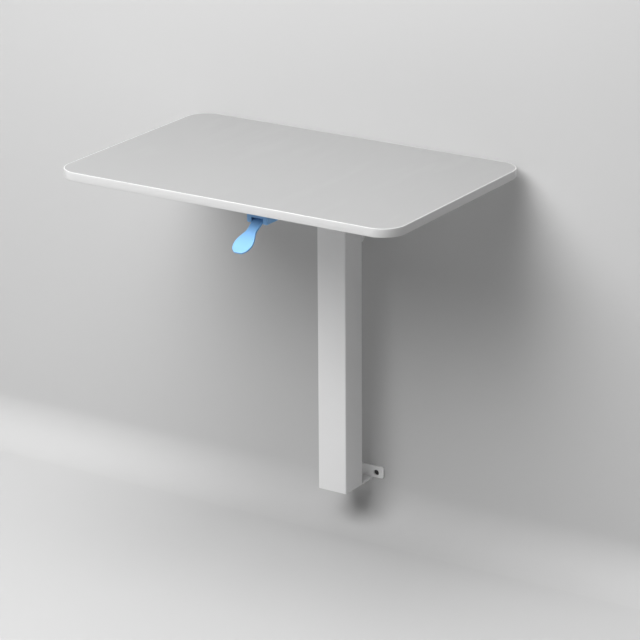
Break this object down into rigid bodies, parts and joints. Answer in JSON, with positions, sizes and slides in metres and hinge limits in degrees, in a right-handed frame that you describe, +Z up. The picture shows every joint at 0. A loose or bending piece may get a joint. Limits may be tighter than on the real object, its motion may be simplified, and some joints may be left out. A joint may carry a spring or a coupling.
{
  "type": "changing table",
  "caption": "Wall-mounted changing table: rounded flat top on a telescopic square column with wall brackets, raised or lowered with a paddle lever that releases a gas spring.",
  "frame": {"origin": "midway between the two lower wall holes, on the wall plane that the brackets' back faces lie on", "axes": "+X along the wall (to the right seen from the room), -Y out of the wall into the room, +Z up"},
  "size_m": [0.8, 0.5456, 0.764],
  "materials": {
    "powder_coat": "fine satin powder coat, very light grey",
    "zinc_steel": "bright zinc plating",
    "plain_steel": "plain drawn steel",
    "spring_steel": "oiled spring wire",
    "grey_plastic": "moulded, fine grain",
    "black_paint": "black enamel",
    "hard_chrome": "ground hard chrome",
    "machined_aluminium": "turned",
    "cast_aluminium": "die cast",
    "black_rubber": "matt",
    "black_plastic": "extruded, slight sheen",
    "particle_board": "raw chipboard",
    "grey_laminate": "fine-grained high-pressure laminate, light grey",
    "backing_laminate": "plain backing laminate",
    "light_edge_band": "satin edge band",
    "blue_plastic": "satin moulded, light blue"
  },
  "bodies": {
    "wall_column": {"outer_column": "powder_coat", "lower_wall_bracket": "powder_coat", "base_plug": "plain_steel", "base_screws": "zinc_steel", "upper_wall_bracket": "powder_coat", "upper_column_block": "powder_coat", "upper_bracket_bolts": "zinc_steel", "guide_bush": "grey_plastic", "bush_screws": "zinc_steel", "spring_strut": "plain_steel", "gas_spring_nut": "zinc_steel", "gas_spring_cylinder": "black_paint", "gas_spring_guide": "machined_aluminium"},
    "lifting_table": {"inner_column": "powder_coat", "glide_shoe": "grey_plastic", "head_plate": "powder_coat", "head_bolts": "zinc_steel", "rubber_buffer": "black_rubber", "crossbeam": "powder_coat", "beam_end_caps": "grey_plastic", "left_arm": "powder_coat", "right_arm": "powder_coat", "arm_bolts": "zinc_steel", "arm_nuts": "zinc_steel", "arm_end_caps": "grey_plastic", "board_core": "particle_board", "top_laminate": "grey_laminate", "bottom_laminate": "backing_laminate", "edge_band": "light_edge_band", "board_screws": "zinc_steel", "gas_spring_rod": "hard_chrome", "gas_spring_piston": "machined_aluminium", "rod_nut": "zinc_steel", "release_head": "cast_aluminium", "rocker_pin": "zinc_steel", "cable_adjuster": "zinc_steel", "adjuster_nut": "zinc_steel", "cable_sheath": "black_plastic", "cable_wire": "plain_steel", "rear_nipple": "zinc_steel", "sheath_ferrule": "black_plastic", "cable_grommet": "black_rubber", "cable_clips": "grey_plastic", "clip_screws": "zinc_steel", "lever_housing": "blue_plastic", "lever_pivot_pin": "zinc_steel", "housing_screws": "zinc_steel", "return_spring": "spring_steel"},
    "paddle": {"paddle_lever": "blue_plastic", "lever_nipple": "zinc_steel"},
    "rocker": {"release_rocker": "cast_aluminium"},
    "valve_pin": {"release_pin": "plain_steel"}
  },
  "joints": [
    {"name": "table_lift", "type": "slide", "parent": "wall_column", "child": "lifting_table", "axis": [0, 0, 1], "range_m": [-0.085, 0.215]},
    {"name": "lever_squeeze", "type": "hinge", "parent": "lifting_table", "child": "paddle", "pos_m": [0.061, -0.461, 0.714], "axis": [-1, 0, 0], "range_deg": [0, 18], "stiffness_Nm_per_rad": 0.5, "springref_deg": -17.19, "deforming": ["return_spring"]},
    {"name": "rocker_tilt", "type": "hinge", "parent": "lifting_table", "child": "rocker", "pos_m": [0, -0.066, 0.704], "axis": [1, 0, 0], "range_deg": [0, 12]},
    {"name": "valve_pin_push", "type": "slide", "parent": "lifting_table", "child": "valve_pin", "axis": [0, 0, -1], "range_m": [0, 0.0021]}
  ],
  "couplings": [
    {"joint": "rocker_tilt", "follows": "lever_squeeze", "ratio": 0.64286},
    {"joint": "valve_pin_push", "follows": "lever_squeeze", "m_per_rad": 0.0064286}
  ]
}
